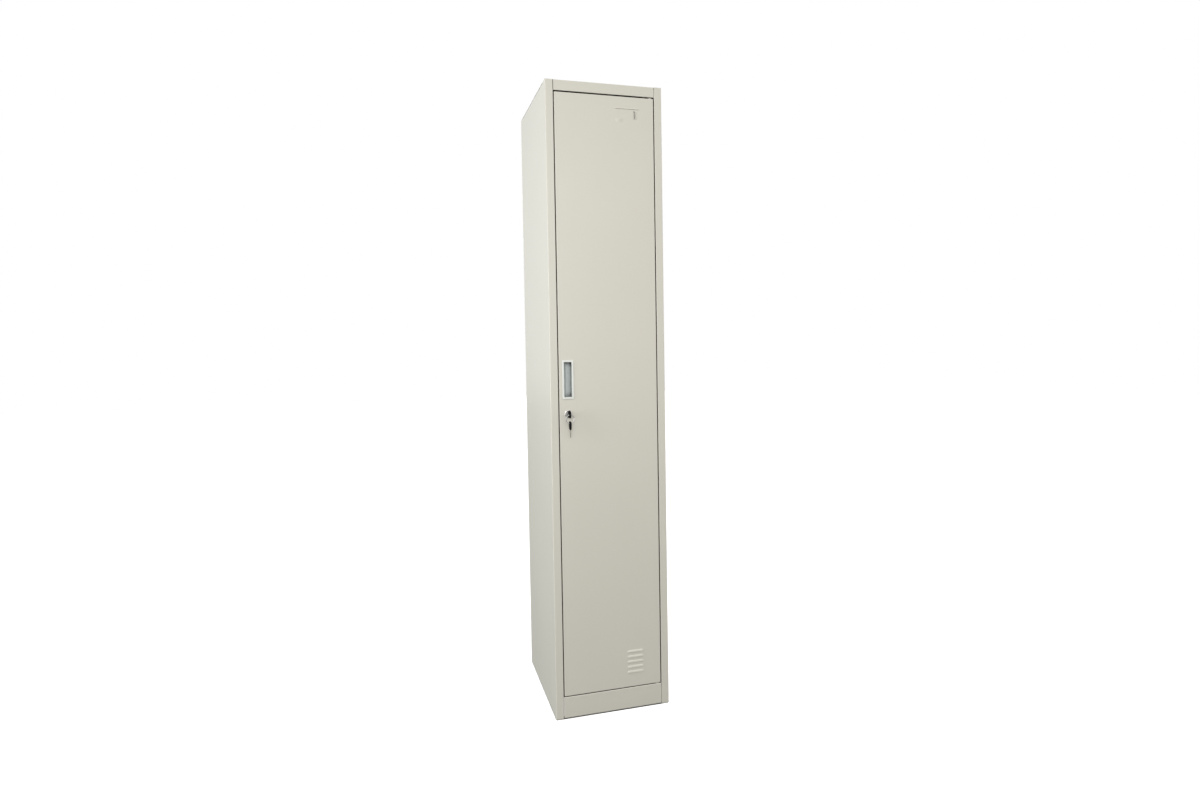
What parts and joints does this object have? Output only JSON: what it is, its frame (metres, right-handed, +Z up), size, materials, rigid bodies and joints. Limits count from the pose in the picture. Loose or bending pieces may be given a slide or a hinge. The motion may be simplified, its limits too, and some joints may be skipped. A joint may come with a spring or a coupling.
{
  "type": "locker cabinet",
  "caption": "Tall narrow free-standing sheet-steel locker with a full-height hinged door, recessed pull, cam lock with keys, vent louvres, hat shelf and coat rail.",
  "frame": {"origin": "on the floor, at the middle of the plan outline with the hanging keys included", "axes": "+X to the right seen from the front, +Y to the rear, +Z up"},
  "size_m": [0.35, 0.4455, 1.85],
  "materials": {
    "cabinet_paint": "semi-gloss warm light grey powder coat",
    "door_paint": "semi-gloss warm light grey powder coat",
    "handle_plastic": "fine satin moulding",
    "lock_chrome": "nickel-chrome plate",
    "chrome": "chrome-plated tube",
    "zinc_steel": "bright zinc plate",
    "key_steel": "nickel-plated key blank",
    "ring_steel": "nickel-plated spring wire",
    "key_black": "black moulding",
    "black_plastic": "black moulding",
    "nylon": "natural nylon",
    "rubber": "black rubber"
  },
  "bodies": {
    "cabinet": {"left_side_panel": "cabinet_paint", "right_side_panel": "cabinet_paint", "top_panel": "cabinet_paint", "bottom_panel": "cabinet_paint", "back_panel": "cabinet_paint", "hat_shelf": "cabinet_paint", "shelf_angles": "cabinet_paint", "shelf_screws": "zinc_steel", "floor_angles": "cabinet_paint", "floor_screws": "zinc_steel", "coat_rail": "chrome", "rail_brackets": "cabinet_paint", "rail_end_caps": "black_plastic", "rail_screws": "zinc_steel", "rear_screws": "zinc_steel", "lid_studs": "zinc_steel", "lid_nuts": "zinc_steel", "door_buffers": "rubber", "top_hinge_plate": "zinc_steel", "bottom_hinge_plate": "zinc_steel", "hinge_rivets": "zinc_steel", "top_hinge_pin": "zinc_steel", "bottom_hinge_pin": "zinc_steel", "hinge_washer": "zinc_steel"},
    "door": {"door_skin": "door_paint", "door_stiffener": "door_paint", "door_pivot_plates": "door_paint", "top_pivot_bush": "nylon", "bottom_pivot_bush": "nylon", "handle_pull": "handle_plastic", "lock_housing": "lock_chrome", "lock_nut": "zinc_steel"},
    "lock_plug": {"lock_plug": "lock_chrome", "lock_cam": "zinc_steel", "lock_screw": "zinc_steel"},
    "key": {"key_blade": "key_steel", "key_head": "key_black"},
    "key_ring": {"key_ring": "ring_steel"},
    "spare_key": {"spare_key_blade": "key_steel", "spare_key_head": "key_black"}
  },
  "joints": [
    {"name": "door_hinge", "type": "hinge", "parent": "cabinet", "child": "door", "pos_m": [0.1395, -0.18075, 0.065], "axis": [0, 0, 1], "range_deg": [0, 110]},
    {"name": "lock_turn", "type": "hinge", "parent": "door", "child": "lock_plug", "pos_m": [-0.1235, -0.18825, 0.8965], "axis": [0, 1, 0], "range_deg": [0, 90]},
    {"name": "key_slide", "type": "slide", "parent": "lock_plug", "child": "key", "axis": [0, -1, 0], "range_m": [0, 0.022]},
    {"name": "ring_swing", "type": "hinge", "parent": "key", "child": "key_ring", "pos_m": [-0.1235, -0.21075, 0.8965], "axis": [1, 0, 0], "range_deg": [-60, 8]},
    {"name": "spare_key_swing", "type": "hinge", "parent": "key_ring", "child": "spare_key", "pos_m": [-0.1235, -0.21075, 0.8697], "axis": [1, 0, 0], "range_deg": [-60, 8]}
  ]
}
